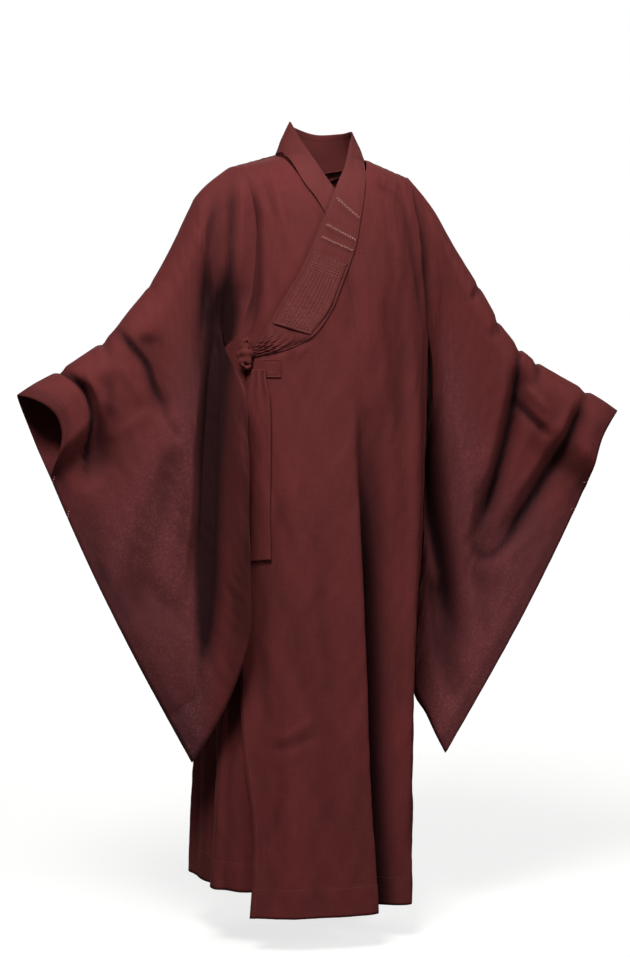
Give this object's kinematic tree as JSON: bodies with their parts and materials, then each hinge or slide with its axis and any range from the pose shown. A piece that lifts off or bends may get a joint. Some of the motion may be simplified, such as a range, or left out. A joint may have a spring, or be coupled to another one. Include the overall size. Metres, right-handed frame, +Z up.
{
  "type": "buddhist monk robe",
  "caption": "Long crossed-collar monk robe in plain dark maroon cloth, worn open form with wide bag sleeves, stitched collar band and a side tie",
  "frame": {"origin": "the base of the neck between the shoulders, where the wearer's neck and shoulders carry the robe", "axes": "+Z up; the front of the robe faces -Y; the wearer's left is +X"},
  "size_m": [1.079, 0.345, 1.3719],
  "materials": {
    "maroon_plain_weave": "thin matte plain weave with a faint sheen",
    "maroon_stitched_band": "layered plain weave, quilted with close lines of stitching"
  },
  "bodies": {
    "root": {"body_left_front": "maroon_plain_weave", "body_left_back": "maroon_plain_weave", "body_right_front": "maroon_plain_weave", "body_right_back": "maroon_plain_weave", "overlap_outer": "maroon_plain_weave", "overlap_inner": "maroon_plain_weave", "sleeve_left": "maroon_plain_weave", "sleeve_right": "maroon_plain_weave", "collar": "maroon_stitched_band", "collar_patch": "maroon_stitched_band", "tie_patch": "maroon_plain_weave", "tie_knot": "maroon_plain_weave", "tie_front": "maroon_plain_weave", "tie_back": "maroon_plain_weave"}
  },
  "joints": []
}
